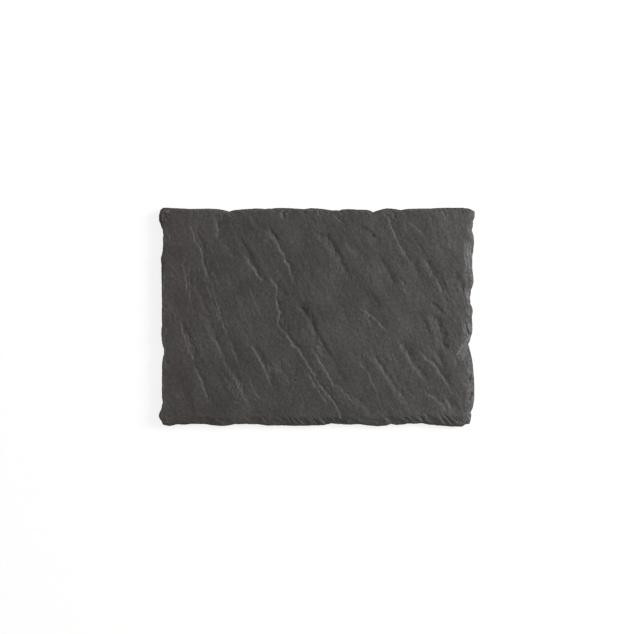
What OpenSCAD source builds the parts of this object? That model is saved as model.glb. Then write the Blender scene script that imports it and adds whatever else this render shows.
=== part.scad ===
// Slate serving board: one slab of riven slate with hand-dressed edges, standing on four
// self-adhesive rubber feet.
// Frame: X runs along the board, Y across it and Z up. The origin is on the table, under the
// middle of the board. West is -X, east is +X, south is -Y and north is +Y.

/* [Slab] */
// Length of the board over its furthest points
board_length = 300; // [220:1:420]
// Width of the board over its furthest points
board_width = 208; // [160:1:300]
// Thickness of the slate, from its underside to the highest part of its riven face
slate_thickness = 6; // [4.5:0.1:10]

/* [Dressed edge] */
// Deepest bite of a chip into the outline
chip_depth = 6.4; // [2:0.1:8]
// Widest ordinary stretch of the flaked bevel round the face
bevel_width = 9.5; // [5:0.1:11]
// Height of the squared foot of the edge, which the bevel comes down to
edge_height = 2.4; // [1:0.1:3]
// How far the edge is broken back under its outline, at the underside
undercut = 1; // [0:0.1:2]
// Length of an ordinary flake along the edge
flake_length = 17; // [10:0.5:30]
// Depth of the scoop that a flake leaves in the bevel
flake_depth = 0.7; // [0:0.1:1]

/* [Riven face] */
// Depth of the deepest cleavage groove
groove_depth = 1.5; // [0:0.1:1.8]
// Width of the widest flank of a groove
flank_width = 14; // [6:0.5:20]
// Height of the slow waves of the face
wave_height = 0.5; // [0:0.1:0.6]
// Length of the slow waves, across the cleavage
wave_length = 61; // [40:1:120]

/* [Feet] */
// Diameter of a foot
foot_diameter = 12.7; // [8:0.1:20]
// Height of a foot
foot_height = 3; // [2:0.1:6]
// Radius of the rounded rim at the bottom of a foot
foot_rim_radius = 1; // [0.3:0.1:1.5]
// Distance from a foot's middle to the ends and the sides of the board
foot_inset = 26; // [20:0.5:50]
// Thickness of the adhesive disc between a foot and the slate
adhesive_thickness = 0.2; // [0.1:0.05:1]
// How far the adhesive disc stays inside the edge of its foot
adhesive_margin = 0.4; // [0.1:0.1:1]

/* [Hidden] */
// Columns and rows of cells over the slab, and how many on each side lie on the bevel
columns = 84;
rows = 60;
bevel_cells = 3;
// Facets of a full turn of the feet, and of their rounded rims
turn_facets = 64;
rim_facets = 48;
// How strongly the lobes between two notches are rounded
lobe_power = 1.6;
// How hollow the bevel is: 1 is flat
bevel_power = 0.8;
// Sharpness of a groove's flanks: 1 is a plain V
flank_power = 1.5;
// Part of a groove's length over which it fades in, and out again
fade_share = 0.22;
// Direction that the slow waves run in, square to the cleavage
wave_angle = 32;
// Share of the flakes' scoops that comes from the finer of two sets, and its length against the other
fine_flake_share = 0.4;
fine_flake_length_share = 0.61;
// How far the flakes pull the top of the bevel in, as a share of its width
flake_pull_share = 0.22;

// The chipped outline, edge by edge. Each knot has its place along the edge as a share of that edge,
// the inset of the outline there as a share of chip_depth, and the width of the bevel as a share of
// bevel_width. South and north run from west to east, west and east run from south to north.
south_shares = [
    [0, 0.3, 0.7], [0.03, 0.1, 0.8], [0.06, 0.36, 0.75], [0.08, 0.3, 0.75], [0.1, 0.4, 0.7],
    [0.145, 0.36, 0.65], [0.2, 0.1, 0.75], [0.24, 0.36, 0.7], [0.315, 0.36, 0.65], [0.345, 0.16, 0.75],
    [0.43, 0.12, 0.8], [0.515, 0.2, 0.8], [0.545, 0.5, 0.7], [0.6, 0.3, 0.75], [0.635, 0.36, 0.75],
    [0.695, 0.06, 0.8], [0.715, 0.15, 0.8], [0.735, 0.42, 0.65], [0.755, 0.25, 0.75], [0.79, 0.45, 0.7],
    [0.83, 0.52, 0.7], [0.87, 0.22, 0.85], [0.935, 0, 1], [0.96, 0, 1], [0.98, 0.38, 0.9], [1, 0.42, 0.9]
];
north_shares = [
    [0, 0.3, 0.6], [0.013, 0, 0.6], [0.025, 0, 0.5], [0.1, 0.18, 0.3], [0.145, 0.12, 0.25],
    [0.175, 0.15, 0.35], [0.205, 0.34, 0.45], [0.222, 0.58, 0.45], [0.24, 0.34, 0.45], [0.28, 0.18, 0.35],
    [0.315, 0.1, 0.3], [0.335, 0.2, 0.3], [0.385, 0.02, 0.5], [0.46, 0.22, 0.4], [0.485, 0.05, 0.5],
    [0.545, 0.38, 0.35], [0.573, 0.36, 0.4], [0.585, 0.2, 0.45], [0.66, 0.32, 0.4], [0.678, 0.66, 0.4],
    [0.7, 0.34, 0.5], [0.72, 0.08, 0.5], [0.765, 0.34, 0.3], [0.79, 0.18, 0.3], [0.86, 0.1, 0.35],
    [0.905, 0, 0.55], [0.96, 0, 0.5], [0.985, 0.13, 0.5], [1, 0.36, 0.5]
];
west_shares = [
    [0, 0.6, 0.8], [0.02, 0.42, 0.8], [0.035, 0.12, 0.8], [0.047, 0, 0.75], [0.058, 0, 0.7],
    [0.077, 0.3, 0.5], [0.11, 0.57, 0.35], [0.145, 0.45, 0.3], [0.28, 0.46, 0.3], [0.31, 0.6, 0.35],
    [0.335, 0.75, 0.35], [0.355, 0.75, 0.35], [0.38, 0.5, 0.3], [0.43, 0.35, 0.4], [0.46, 0.46, 0.3],
    [0.625, 0.43, 0.35], [0.735, 0.37, 0.4], [0.765, 0.31, 0.45], [0.8, 0.57, 0.35], [0.83, 0.65, 0.3],
    [0.85, 0.6, 0.3], [0.875, 0.65, 0.35], [0.9, 0.57, 0.5], [0.925, 0.25, 0.75], [0.948, 0, 0.85],
    [0.963, 0, 0.8], [0.98, 0.1, 0.7], [1, 0.25, 0.6]
];
east_shares = [
    [0, 0.8, 0.7], [0.02, 0.68, 0.7], [0.048, 0.52, 0.8], [0.067, 0.64, 0.75], [0.09, 0.3, 0.85],
    [0.145, 0.06, 1], [0.2, 0.08, 1], [0.295, 0.36, 0.9], [0.335, 0.6, 1.2], [0.35, 0.75, 1.5],
    [0.377, 1, 0.9], [0.405, 0.66, 0.8], [0.45, 0.33, 1], [0.5, 0.43, 0.95], [0.533, 0.31, 0.95],
    [0.56, 0.66, 0.75], [0.593, 0.73, 0.7], [0.625, 0.55, 0.8], [0.665, 0.2, 1], [0.725, 0.4, 0.85],
    [0.775, 0.36, 0.95], [0.845, 0.12, 1.1], [0.87, 0.2, 0.9], [0.898, 0.5, 0.5], [0.917, 0.3, 0.5],
    [0.94, 0.25, 0.5], [0.972, 0, 0.6], [0.99, 0, 0.5], [1, 0.36, 0.5]
];

// The cleavage grooves of the face. Each has its depth as a share of groove_depth, the widths of its
// south-west and north-east flanks as shares of flank_width, and the points that it runs through as
// shares of the length and the width of the board, from its south-west corner.
groove_shares = [
    [0.9, 0.35, 0.6, [[0.342, 0.697], [0.37, 0.633], [0.373, 0.524], [0.367, 0.469], [0.418, 0.382],
        [0.472, 0.277], [0.513, 0.176], [0.563, 0.09], [0.573, 0.044]]],
    [0.55, 0.35, 0.6, [[0.098, 0.921], [0.13, 0.816], [0.136, 0.752], [0.155, 0.661], [0.177, 0.556],
        [0.218, 0.419]]],
    [0.6, 0.4, 0.5, [[0.168, 1], [0.18, 0.931], [0.193, 0.853]]],
    [0.85, 0.6, 0.4, [[0.247, 0.889], [0.278, 0.812], [0.304, 0.739], [0.332, 0.665]]],
    [1, 0.45, 0.45, [[0.339, 0.899], [0.377, 0.839], [0.402, 0.757], [0.43, 0.652]]],
    [1, 0.7, 0.4, [[0.434, 0.588], [0.478, 0.496], [0.5, 0.414], [0.528, 0.323]]],
    [0.8, 1, 0.5, [[0.487, 0.894], [0.541, 0.848], [0.579, 0.784], [0.611, 0.684]]],
    [0.6, 0.35, 0.7, [[0.718, 0.981], [0.744, 0.876], [0.775, 0.771], [0.807, 0.693]]],
    [0.7, 0.9, 0.45, [[0.687, 0.771], [0.725, 0.707], [0.772, 0.638]]],
    [1, 0.7, 0.4, [[0.82, 0.807], [0.87, 0.716], [0.905, 0.615]]],
    [1, 0.8, 0.5, [[0.826, 0.542], [0.87, 0.478], [0.902, 0.368]]],
    [0.95, 0.7, 0.6, [[0.826, 0.35], [0.877, 0.268], [0.921, 0.14]]],
    [0.8, 0.6, 0.5, [[0.756, 0.405], [0.794, 0.314], [0.839, 0.213]]],
    [0.6, 0.4, 0.5, [[0.63, 0.314], [0.661, 0.24], [0.696, 0.122]]],
    [0.85, 0.7, 0.45, [[0.68, 0.341], [0.725, 0.24], [0.788, 0.094]]],
    [0.7, 0.7, 0.5, [[0.554, 0.186], [0.604, 0.126], [0.661, 0.062]]],
    [0.5, 0.35, 0.45, [[0.49, 0.341], [0.519, 0.272], [0.541, 0.19]]],
    [0.75, 0.35, 0.55, [[0.288, 0.378], [0.32, 0.291], [0.361, 0.163]]],
    [0.7, 0.45, 0.55, [[0.171, 0.414], [0.199, 0.318], [0.25, 0.195], [0.288, 0.085]]],
    [0.5, 0.35, 0.5, [[0.076, 0.473], [0.108, 0.35], [0.133, 0.222], [0.158, 0.112]]]
];

corners = [["front_left", -1, -1], ["front_right", 1, -1], ["back_left", -1, 1], ["back_right", 1, 1]];

slab_bottom = foot_height + adhesive_thickness;
foot_radius = foot_diameter / 2;
grooves = [for (groove = groove_shares) [
    groove_depth * groove[0],
    flank_width * groove[1],
    flank_width * groove[2],
    [for (point = groove[3]) [(point[0] - 1 / 2) * board_length, (point[1] - 1 / 2) * board_width]]
]];

// The dressed edge

// Number of the last knot of an edge that lies at or before a place along it
function knot_before(place, shares) =
    max([for (k = [0 : len(shares) - 2]) if (shares[k][0] <= place) k]);

// How far the way from one knot to the next has been gone at a place
function way_between(place, a, b) = (place - a[0]) / (b[0] - a[0]);

// Inset of the outline at a place along an edge: round lobes that meet in sharp notches
function chip_inset(place, shares) =
    let (
        k = knot_before(place, shares),
        a = shares[k],
        b = shares[k + 1],
        way = way_between(place, a, b),
        share = b[1] > a[1]
            ? a[1] + (b[1] - a[1]) * pow(way, lobe_power)
            : b[1] + (a[1] - b[1]) * pow(1 - way, lobe_power)
    )
    chip_depth * share;

// Hollow of the flakes at a distance along an edge: 0 where two flakes meet, up to 1 between them
function flake_hollow(along) =
    (1 - fine_flake_share) * abs(sin(180 * along / flake_length))
    + fine_flake_share * abs(sin(180 * along / (flake_length * fine_flake_length_share)));

// Width of the bevel at a place along an edge of some length
function bevel_at(place, shares, edge) =
    let (
        k = knot_before(place, shares),
        a = shares[k],
        b = shares[k + 1],
        share = a[2] + (b[2] - a[2]) * way_between(place, a, b)
    )
    bevel_width * share * (1 - flake_pull_share + 2 * flake_pull_share * flake_hollow(place * edge));

// Place of one grid line between two edges: bevel cells at both ends and even cells between them
function line_between(index, count, low, low_bevel, high, high_bevel) =
    index <= bevel_cells
        ? low + low_bevel * index / bevel_cells
        : index >= count - bevel_cells
            ? high - high_bevel * (count - index) / bevel_cells
            : low + low_bevel + (high - high_bevel - low - low_bevel)
                * (index - bevel_cells) / (count - 2 * bevel_cells);

// Share of an edge at which a grid line meets it
function line_share(index, count, edge) =
    line_between(index, count, 0, bevel_width, edge, bevel_width) / edge;

// How far onto the face a line lies: 0 at the outline, 1 at the top of the bevel and beyond
function ring_share(index, count) = min(1, min(index, count - index) / bevel_cells);

// The riven face

// Distance from a point to a stretch of a groove, with the side that the point is on (1 is north-east)
// and how far along the groove it is
function stretch_reach(point, a, b, number) =
    let (
        run = b - a,
        from_a = point - a,
        way = max(0, min(1, (from_a * run) / (run * run))),
        side = run[0] * from_a[1] - run[1] * from_a[0]
    )
    [norm(from_a - way * run), side >= 0 ? 1 : -1, number + way];

// The nearest of several reaches
function nearest(reaches) =
    let (least = min([for (reach = reaches) reach[0]]))
    [for (reach = reaches) if (reach[0] == least) reach][0];

// True if a point is near enough to a groove to lie on its flanks
function near_groove(point, line, reach) =
    let (xs = [for (p = line) p[0]], ys = [for (p = line) p[1]])
    point[0] > min(xs) - reach && point[0] < max(xs) + reach
    && point[1] > min(ys) - reach && point[1] < max(ys) + reach;

// Depth of one groove at a point of the face
function groove_at(point, groove) =
    !near_groove(point, groove[3], max(groove[1], groove[2])) ? 0 :
    let (
        line = groove[3],
        last = len(line) - 1,
        reach = nearest([for (k = [0 : last - 1]) stretch_reach(point, line[k], line[k + 1], k)]),
        flank = reach[1] > 0 ? groove[2] : groove[1],
        along = reach[2] / last,
        fade = min(1, along / fade_share, (1 - along) / fade_share)
    )
    reach[0] >= flank ? 0 : groove[0] * fade * pow(1 - reach[0] / flank, flank_power);

// Depth of the slow waves at a point of the face
function wave_at(point) =
    let (across = point[0] * cos(wave_angle) + point[1] * sin(wave_angle))
    wave_height * (1 - sin(360 * across / wave_length)) / 2;

// Height of the face over the underside at a point
function face_height(point) =
    slate_thickness - wave_at(point) - max([for (groove = grooves) groove_at(point, groove)]);

// The slab

// A point of the upper side of the slab, at a column and a row of the grid
function upper_point(column, row) =
    let (
        u = line_share(column, columns, board_length),
        v = line_share(row, rows, board_width),
        x = line_between(column, columns,
            -board_length / 2 + chip_inset(v, west_shares), bevel_at(v, west_shares, board_width),
            board_length / 2 - chip_inset(v, east_shares), bevel_at(v, east_shares, board_width)),
        y = line_between(row, rows,
            -board_width / 2 + chip_inset(u, south_shares), bevel_at(u, south_shares, board_length),
            board_width / 2 - chip_inset(u, north_shares), bevel_at(u, north_shares, board_length)),
        ring = min(ring_share(column, columns), ring_share(row, rows)),
        along = ring_share(column, columns) < ring_share(row, rows) ? v * board_width : u * board_length,
        scoop = flake_depth * flake_hollow(along) * sin(180 * ring),
        rise = (face_height([x, y]) - edge_height) * pow(ring, bevel_power)
    )
    [x, y, slab_bottom + edge_height + rise - scoop];

// The point of the underside below a point of the outline
function under_point(point) = [
    point[0] * (1 - 2 * undercut / board_length),
    point[1] * (1 - 2 * undercut / board_width),
    slab_bottom
];

module slate_slab() {
    upper = [for (row = [0 : rows]) for (column = [0 : columns]) upper_point(column, row)];
    function at(column, row) = row * (columns + 1) + column;
    outline = concat(
        [for (column = [0 : columns - 1]) at(column, 0)],
        [for (row = [0 : rows - 1]) at(columns, row)],
        [for (column = [columns : -1 : 1]) at(column, rows)],
        [for (row = [rows : -1 : 1]) at(0, row)]
    );
    count = len(outline);
    first = len(upper);
    under = [for (index = outline) under_point(upper[index])];
    face = [for (row = [0 : rows - 1]) for (column = [0 : columns - 1]) each [
        [at(column, row), at(column, row + 1), at(column + 1, row)],
        [at(column + 1, row), at(column, row + 1), at(column + 1, row + 1)]
    ]];
    wall = [for (k = [0 : count - 1]) let (next = (k + 1) % count) each [
        [outline[k], outline[next], first + next],
        [outline[k], first + next, first + k]
    ]];
    underside = [[for (k = [0 : count - 1]) first + k]];
    color("#4b4947") polyhedron(points = concat(upper, under), faces = concat(face, wall, underside));
}

// The feet

// Places a foot's pieces under one corner of the board
module under_corner(east, north) {
    translate([east * (board_length / 2 - foot_inset), north * (board_width / 2 - foot_inset), 0]) children();
}

// Half section of a foot: straight sides and a rounded rim at the table
module foot_section() {
    translate([0, foot_rim_radius]) square([foot_radius, foot_height - foot_rim_radius]);
    square([foot_radius - foot_rim_radius, foot_height]);
    translate([foot_radius - foot_rim_radius, foot_rim_radius]) circle(r = foot_rim_radius, $fn = rim_facets);
}

module foot(east, north) {
    color("#1b1b1c") under_corner(east, north) rotate_extrude($fn = turn_facets) foot_section();
}

module adhesive_disc(east, north) {
    color("#b9b4a4") under_corner(east, north) translate([0, 0, foot_height])
        cylinder(r = foot_radius - adhesive_margin, h = adhesive_thickness, $fn = turn_facets);
}

slate_slab();
for (corner = corners) {
    foot(corner[1], corner[2]);
    adhesive_disc(corner[1], corner[2]);
}
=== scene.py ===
import math
from collections import namedtuple

import bpy
import numpy as np
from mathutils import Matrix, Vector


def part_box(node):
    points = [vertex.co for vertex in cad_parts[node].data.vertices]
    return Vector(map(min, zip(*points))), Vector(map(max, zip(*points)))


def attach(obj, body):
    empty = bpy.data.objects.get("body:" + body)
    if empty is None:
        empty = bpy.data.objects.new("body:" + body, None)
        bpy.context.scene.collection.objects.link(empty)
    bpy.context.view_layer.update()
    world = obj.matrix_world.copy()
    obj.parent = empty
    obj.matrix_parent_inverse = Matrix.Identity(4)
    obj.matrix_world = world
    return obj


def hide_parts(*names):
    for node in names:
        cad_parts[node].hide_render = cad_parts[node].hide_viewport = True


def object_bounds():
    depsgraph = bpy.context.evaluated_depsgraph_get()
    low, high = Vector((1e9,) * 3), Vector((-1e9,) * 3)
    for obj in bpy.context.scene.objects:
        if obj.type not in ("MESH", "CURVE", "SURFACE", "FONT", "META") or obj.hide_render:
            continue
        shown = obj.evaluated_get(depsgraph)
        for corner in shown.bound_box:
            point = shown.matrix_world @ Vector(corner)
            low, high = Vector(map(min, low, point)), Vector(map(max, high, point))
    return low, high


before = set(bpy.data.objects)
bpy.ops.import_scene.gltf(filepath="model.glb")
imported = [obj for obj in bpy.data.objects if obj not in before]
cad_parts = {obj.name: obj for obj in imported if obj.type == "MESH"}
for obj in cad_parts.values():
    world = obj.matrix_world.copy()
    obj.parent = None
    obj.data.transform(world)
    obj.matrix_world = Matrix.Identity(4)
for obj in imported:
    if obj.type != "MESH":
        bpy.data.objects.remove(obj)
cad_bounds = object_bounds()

# Looks of a riven slate serving board, in metres, in the frame of its solids.
# West is -X, east is +X, south is -Y and north is +Y, as on a map of the photograph.

MM = 0.001
SLAB_LOW, SLAB_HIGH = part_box("slate_slab")
CENTRE_X = (SLAB_LOW.x + SLAB_HIGH.x) / 2
CENTRE_Y = (SLAB_LOW.y + SLAB_HIGH.y) / 2
BOARD_LENGTH = SLAB_HIGH.x - SLAB_LOW.x
BOARD_WIDTH = SLAB_HIGH.y - SLAB_LOW.y
THICKNESS = SLAB_HIGH.z - SLAB_LOW.z
FEET = [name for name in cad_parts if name.startswith("foot_")]
ADHESIVES = [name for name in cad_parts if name.startswith("adhesive_")]

# The photograph: the sides of its square frame and of the board in it, in pixels
PHOTO_SIDE = 634
PHOTO_WEST = 158.9
PHOTO_EAST = 474.9
PHOTO_NORTH = 207.8
PHOTO_SOUTH = 426.6
PIXEL = BOARD_LENGTH / (PHOTO_EAST - PHOTO_WEST)

# The dressed edge, as in the solids
CHIP_DEPTH = 6.4 * MM
BEVEL_WIDTH = 9.5 * MM
EDGE_HEIGHT = 2.4 * MM
UNDERCUT = 1.0 * MM
LOBE_POWER = 1.6
RAGGED_DEPTH = 0.5 * MM
RAGGED_LENGTH = 5 * MM
RAGGED_SEEDS = {"south": 3, "north": 5, "west": 7, "east": 9}
EDGE_LENGTHS = {"south": BOARD_LENGTH, "north": BOARD_LENGTH, "west": BOARD_WIDTH, "east": BOARD_WIDTH}

# The flake scars of the dressed edge. Each pass of the hammer leaves a row of scars along an edge. Lengths
# along the edge, heights at the outline and ridges between two scars are ranges in millimetres, widths are
# ranges of shares of the bevel, and slant is how far a scar runs along the edge for each step inwards.
ScarPass = namedtuple("ScarPass", "lengths heights widths ridges slant")
SCAR_PASSES = {
    "south": [
        ScarPass((3.5, 14), (2.0, 3.0), (1.1, 1.55), (1.0, 2.2), 1.1),
        ScarPass((2.0, 6.0), (2.2, 3.2), (0.9, 1.3), (0.7, 1.5), 1.0),
        ScarPass((3, 9), (0.8, 1.1), (0.4, 0.5), (0.2, 0.5), 0.7),
    ],
    "north": [
        ScarPass((3, 11), (2.4, 3.4), (0.9, 1.6), (0.8, 2.2), -0.9),
        ScarPass((3, 8), (0.9, 1.5), (0.6, 0.9), (0.2, 0.7), -0.4),
    ],
    "west": [
        ScarPass((7, 18), (4.0, 4.8), (0.4, 0.75), (0.3, 0.8), 0.2),
        ScarPass((3, 8), (2.2, 3.0), (0.15, 0.28), (0.2, 0.6), 0.0),
    ],
    "east": [
        ScarPass((9, 26), (2.9, 3.7), (1.2, 1.6), (0.3, 1.0), 0.6),
        ScarPass((5, 15), (2.2, 2.9), (0.8, 1.15), (0.5, 1.4), 0.9),
        ScarPass((3, 9), (2.0, 2.6), (0.2, 0.4), (0.3, 0.8), 0.3),
    ],
}
SCAR_SEEDS = {"south": 61, "north": 62, "west": 63, "east": 64}
SCAR_REACH = 22 * MM
SLANT_SPREAD = 0.35
SLANT_SEED = 1000

# How far the bottom of a scar lies to the west or south of its middle, as a share of half its length
SCAR_SKEW_SHARE = 0.4

# How strong the ridges between the scars are: a share of the edge and a factor, knot by knot
RIDGE_FACTORS = {
    "south": [
        (0, 0.05), (0.2, 0.08), (0.27, 0.25), (0.41, 0.25), (0.435, 1.3), (0.585, 1.3), (0.61, 0.4),
        (0.69, 0.4), (0.74, 0.8), (0.81, 0.9), (0.84, 1.3), (0.87, 0.8), (0.91, 1.4), (0.97, 1.4), (1, 1),
    ],
    "north": [
        (0, 1), (0.04, 0.3), (0.18, 0.4), (0.23, 1.2), (0.3, 0.6), (0.39, 1.2), (0.5, 1), (0.6, 0.6),
        (0.69, 1.2), (0.8, 0.6), (0.9, 1.3), (1, 1),
    ],
    "west": [(0, 1)],
    "east": [(0, 1)],
}

# Single large scars: a pixel of the photograph on the upper end, the direction of the fall in degrees from
# east, the slope, half the length across the fall and the height of the ends over the middle in millimetres,
# how far the middle drifts to the left for each step of the fall, and how pale the fresh stone is
LARGE_SCARS = [
    ((462.4, 344.3), -32, 0.65, 12, 1.6, 0.7, 0.2),
    ((461.5, 256), 3, 0.37, 15, 1.6, 0, 0),
    ((461.5, 296), 5, 0.45, 8.5, 1.6, 0, 0.14),
    ((463, 311), 2, 0.46, 7, 1.6, 0, 0.12),
    ((462, 326.5), 4, 0.46, 7, 1.6, 0, 0),
    ((464.5, 368), -4, 0.47, 9, 1.6, 0, 0.04),
    ((464, 392), 8, 0.45, 12, 1.4, 0, 0),
    ((466, 409), -25, 0.55, 7, 1.2, 0, 0),
]
LARGE_SCAR_SEED = 65

# Short cracks in the broken edge: depth and both flanks in millimetres, how many lie side by side, how many
# pixels each lies east of the last, and the photograph's pixels that the first runs through
EDGE_CRACKS = [
    (1.5, 1.2, 1.2, 1, 0, [(468, 382), (469.5, 377.5), (471, 373.5)]),
    (1.7, 1.2, 1.2, 1, 0, [(468.5, 401), (470.3, 396), (472.2, 391.5)]),
    (1.3, 1.0, 1.0, 1, 0, [(464.5, 321), (466, 327), (469, 335)]),
    (1.1, 1.1, 1.1, 1, 0, [(463.5, 273.5), (468, 274.4), (473, 274)]),
    (0.8, 1.0, 1.2, 1, 0, [(467.5, 276), (467.2, 282), (467.8, 287)]),
    (0.6, 1.0, 1.2, 1, 0, [(468.5, 248), (468.8, 255)]),
    (0.5, 0.9, 0.9, 1, 0, [(467.4, 341.5), (466.6, 345)]),
    (0.9, 1.0, 1.3, 2, 4, [(297.5, 416.5), (302, 420.3), (306, 424)]),
    (0.8, 0.9, 1.2, 2, 8.7, [(311.5, 419), (315, 421.5), (318.5, 424)]),
    (0.8, 0.9, 1.0, 6, 2.8, [(325.5, 416.6), (329, 419.6), (332.5, 422.6)]),
    (0.6, 0.9, 1.2, 2, 16, [(384.5, 417), (389, 418.6), (393, 420)]),
    (0.8, 0.9, 1.2, 4, 3.6, [(414.5, 417.6), (417.5, 420.2), (420.5, 423)]),
    (0.9, 0.9, 1.2, 5, 3.1, [(450.5, 415.6), (455, 419.2), (459, 423)]),
    (0.8, 0.9, 0.9, 1, 0, [(163, 257), (162.6, 266), (162.9, 276)]),
    (0.8, 0.9, 0.9, 1, 0, [(163.4, 305), (162.8, 322), (162.6, 334)]),
    (0.6, 0.8, 0.9, 1, 0, [(164.6, 356), (165.5, 362), (166.8, 368)]),
]
EDGE_CRACK_SEED = 400
EDGE_CRACK_SHIFT = 0.25
EDGE_CRACK_DEPTHS = (0.75, 1.2)

# How far under the face the stone counts as broken, the painted shade on its low rim and the painted shade
# line along the north outline
BROKEN_DEPTH = 1.5 * MM
LEAST_HEIGHT = 0.8 * MM
RIM_HEIGHT = 3.0 * MM
RIM_FOOT = 1.9 * MM
WEST_RIM_SHARE = 0.5
NORTH_SHADE_LINE = 0.5
NORTH_SHADE_LINE_WIDTH = 1.3 * MM

# The worn line beside the west edge: its strength, its distance from the outline and its width
WEST_WEAR = 0.26
WEST_WEAR_PLACE = 1.9 * MM
WEST_WEAR_WIDTH = 1.1 * MM

# The thin layers of the slate that show as ledges and lines on the broken edge
LAMINA = 1.1 * MM
LAMINA_SHARPNESS = 5
LAMINA_LINE = 0.3 * MM
LAMINA_LINE_WIDTH = 1.8 * MM
LAMINA_LINE_LENGTH = 14 * MM
NORTH_LAMINA_SHARE = 0.7

# How strongly the layers show, from west to east: a share of the board's length and a share of the height
LAMINA_SHARES = [(0, 0.8), (0.2, 0.75), (0.28, 0.3), (0.93, 0.3), (0.96, 0.4)]

# How strong the painted glint on the broken stone along the east edge is, from south to north, and how far
# from the east side it reaches and fades
GLINT_SHARES = [
    (0.31, 0.9), (0.335, 0.5), (0.36, 1), (0.49, 1), (0.51, 0.4), (0.56, 0.4), (0.58, 1), (0.64, 1),
    (0.66, 0.4), (0.69, 0.4), (0.71, 0.9), (0.8, 0.85), (0.84, 1), (0.88, 0.1), (1, 0),
]
GLINT_REACH = 20 * MM
GLINT_FADE = 8 * MM

# The chipped outline. Each knot has its place as a share of its edge, the inset of the outline as a share
# of CHIP_DEPTH and the width of the bevel as a share of BEVEL_WIDTH. South and north run from west to
# east, west and east run from south to north.
SOUTH_SHARES = [
    (0, 0.3, 0.7), (0.03, 0.1, 0.8), (0.06, 0.36, 0.75), (0.08, 0.3, 0.75), (0.1, 0.4, 0.7),
    (0.145, 0.385, 0.65), (0.2, 0.1, 0.75), (0.24, 0.36, 0.7), (0.315, 0.36, 0.65), (0.345, 0.16, 0.75),
    (0.4, 0.16, 0.78), (0.43, 0.12, 0.8), (0.515, 0.2, 0.8), (0.545, 0.475, 0.7), (0.6, 0.3, 0.75),
    (0.635, 0.36, 0.75), (0.695, 0.06, 0.8), (0.715, 0.15, 0.8), (0.735, 0.42, 0.65), (0.755, 0.25, 0.75),
    (0.79, 0.45, 0.7), (0.808, 0.41, 0.7), (0.83, 0.52, 0.7), (0.87, 0.22, 0.85), (0.9, 0.125, 0.92),
    (0.935, 0, 1), (0.96, 0, 1), (0.98, 0.35, 0.9), (1, 0.42, 0.9),
]
NORTH_SHARES = [
    (0, 0.3, 0.6), (0.013, 0, 0.6), (0.025, 0, 0.5), (0.045, 0.06, 0.45), (0.1, 0.18, 0.3),
    (0.145, 0.12, 0.25), (0.175, 0.15, 0.35), (0.205, 0.34, 0.45), (0.222, 0.58, 0.45), (0.24, 0.34, 0.45),
    (0.28, 0.18, 0.35), (0.315, 0.1, 0.3), (0.335, 0.2, 0.3), (0.385, 0.02, 0.5), (0.46, 0.22, 0.4),
    (0.485, 0.05, 0.5), (0.545, 0.38, 0.35), (0.573, 0.36, 0.4), (0.585, 0.2, 0.45), (0.66, 0.32, 0.4),
    (0.678, 0.66, 0.4), (0.687, 0.51, 0.45), (0.7, 0.31, 0.5), (0.72, 0.08, 0.5), (0.765, 0.32, 0.3),
    (0.79, 0.15, 0.3), (0.86, 0.1, 0.35), (0.905, 0, 0.55), (0.96, 0, 0.5), (0.985, 0.13, 0.5),
    (1, 0.36, 0.5),
]
WEST_SHARES = [
    (0, 0.6, 0.8), (0.02, 0.42, 0.8), (0.035, 0.09, 0.8), (0.047, 0, 0.75), (0.058, 0.03, 0.7),
    (0.077, 0.33, 0.5), (0.11, 0.58, 0.35), (0.145, 0.45, 0.3), (0.28, 0.46, 0.3), (0.31, 0.6, 0.35),
    (0.335, 0.75, 0.35), (0.355, 0.75, 0.35), (0.38, 0.5, 0.3), (0.43, 0.35, 0.4), (0.46, 0.46, 0.3),
    (0.625, 0.43, 0.35), (0.735, 0.37, 0.4), (0.765, 0.31, 0.45), (0.8, 0.57, 0.35), (0.83, 0.65, 0.3),
    (0.85, 0.6, 0.3), (0.875, 0.65, 0.35), (0.9, 0.57, 0.5), (0.925, 0.25, 0.75), (0.948, 0, 0.85),
    (0.963, 0, 0.8), (0.98, 0.1, 0.7), (1, 0.25, 0.6),
]
EAST_SHARES = [
    (0, 0.8, 0.7), (0.02, 0.68, 0.7), (0.048, 0.52, 0.8), (0.067, 0.64, 0.75), (0.09, 0.3, 0.85),
    (0.145, 0.06, 1), (0.2, 0.08, 1), (0.295, 0.36, 0.9), (0.335, 0.6, 0.7), (0.35, 0.75, 0.6),
    (0.377, 1, 0.5), (0.405, 0.66, 0.8), (0.45, 0.33, 1), (0.5, 0.43, 0.95), (0.533, 0.31, 0.95),
    (0.56, 0.66, 0.75), (0.593, 0.73, 0.7), (0.625, 0.55, 0.8), (0.665, 0.2, 0.65), (0.725, 0.4, 0.8),
    (0.775, 0.36, 0.9), (0.845, 0.12, 0.9), (0.87, 0.2, 0.5), (0.898, 0.5, 0.35), (0.917, 0.3, 0.3),
    (0.94, 0.25, 0.5), (0.972, 0, 0.6), (0.99, 0, 0.5), (1, 0.36, 0.5),
]
OUTLINE_SHARES = {"south": SOUTH_SHARES, "north": NORTH_SHARES, "west": WEST_SHARES, "east": EAST_SHARES}

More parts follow.
